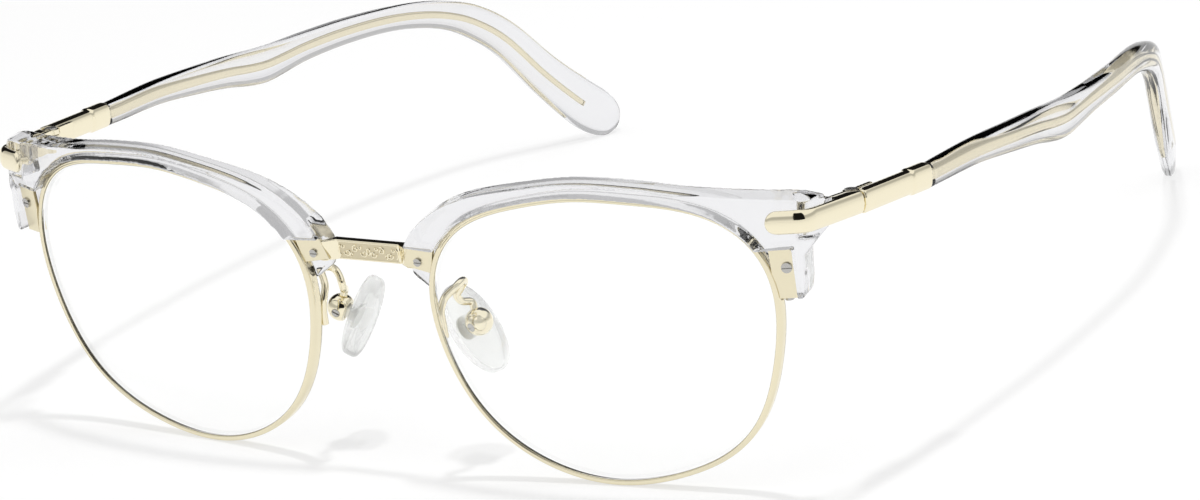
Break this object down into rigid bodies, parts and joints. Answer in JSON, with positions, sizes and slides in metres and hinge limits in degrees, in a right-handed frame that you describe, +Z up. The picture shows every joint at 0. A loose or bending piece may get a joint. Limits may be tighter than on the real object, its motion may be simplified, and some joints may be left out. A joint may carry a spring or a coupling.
{
  "type": "eyeglasses",
  "caption": "Browline eyeglasses with clear brows over thin champagne-gold rims, an engraved bridge, adjustable nose pads and folding clear temples with a metal core",
  "frame": {"origin": "centre of the bounding box's underside, on the surface that the rims and the temple tips rest on", "axes": "+Z up; -Y the way the wearer looks; +X the wearer's left; temples open and run towards +Y"},
  "size_m": [0.144, 0.1496, 0.0457],
  "materials": {
    "gold_metal": "polished, champagne-gold plate",
    "screw_steel": "fine turned steel",
    "clear_acetate": "clear, polished",
    "demo_lens": "clear, optically smooth",
    "silicone": "clear, soft, satin"
  },
  "bodies": {
    "front": {"bridge": "gold_metal", "rim_left": "gold_metal", "rim_right": "gold_metal", "lens_left": "demo_lens", "lens_right": "demo_lens", "brow_left": "clear_acetate", "brow_right": "clear_acetate", "nasal_plate_left": "gold_metal", "nasal_plate_right": "gold_metal", "lock_plate_left": "gold_metal", "lock_plate_right": "gold_metal", "nasal_screw_left": "screw_steel", "nasal_screw_right": "screw_steel", "lock_screw_left": "screw_steel", "lock_screw_right": "screw_steel", "rim_block_upper_left": "gold_metal", "rim_block_upper_right": "gold_metal", "rim_block_lower_left": "gold_metal", "rim_block_lower_right": "gold_metal", "rim_screw_left": "screw_steel", "rim_screw_right": "screw_steel", "cap_left": "gold_metal", "cap_right": "gold_metal", "cap_pins_left": "gold_metal", "cap_pins_right": "gold_metal", "front_hinge_left": "gold_metal", "front_hinge_right": "gold_metal", "hinge_screw_left": "screw_steel", "hinge_screw_right": "screw_steel", "pad_arm_left": "gold_metal", "pad_arm_right": "gold_metal", "pad_box_left": "gold_metal", "pad_box_right": "gold_metal", "pad_screw_left": "screw_steel", "pad_screw_right": "screw_steel"},
    "temple_arm_left": {"temple_bar_left": "gold_metal", "temple_hinge_left": "gold_metal", "temple_core_left": "gold_metal", "temple_left": "clear_acetate"},
    "pad_left": {"nose_pad_left": "silicone", "pad_stem_left": "screw_steel"},
    "temple_arm_right": {"temple_bar_right": "gold_metal", "temple_hinge_right": "gold_metal", "temple_core_right": "gold_metal", "temple_right": "clear_acetate"},
    "pad_right": {"nose_pad_right": "silicone", "pad_stem_right": "screw_steel"}
  },
  "joints": [
    {"name": "temple_fold_left", "type": "hinge", "parent": "front", "child": "temple_arm_left", "pos_m": [0.06739, -0.05402, 0.03893], "axis": [0, 0.0935, 0.9956], "range_deg": [0, 74]},
    {"name": "temple_fold_right", "type": "hinge", "parent": "front", "child": "temple_arm_right", "pos_m": [-0.06739, -0.05402, 0.03893], "axis": [0, -0.0935, -0.9956], "range_deg": [0, 82]},
    {"name": "pad_rock_left", "type": "hinge", "parent": "front", "child": "pad_left", "pos_m": [0.0118, -0.06385, 0.02066], "axis": [0.1076, 0.9821, 0.1544], "range_deg": [-10, 10]},
    {"name": "pad_rock_right", "type": "hinge", "parent": "front", "child": "pad_right", "pos_m": [-0.0118, -0.06385, 0.02066], "axis": [-0.1076, 0.9821, 0.1544], "range_deg": [-10, 10]}
  ]
}
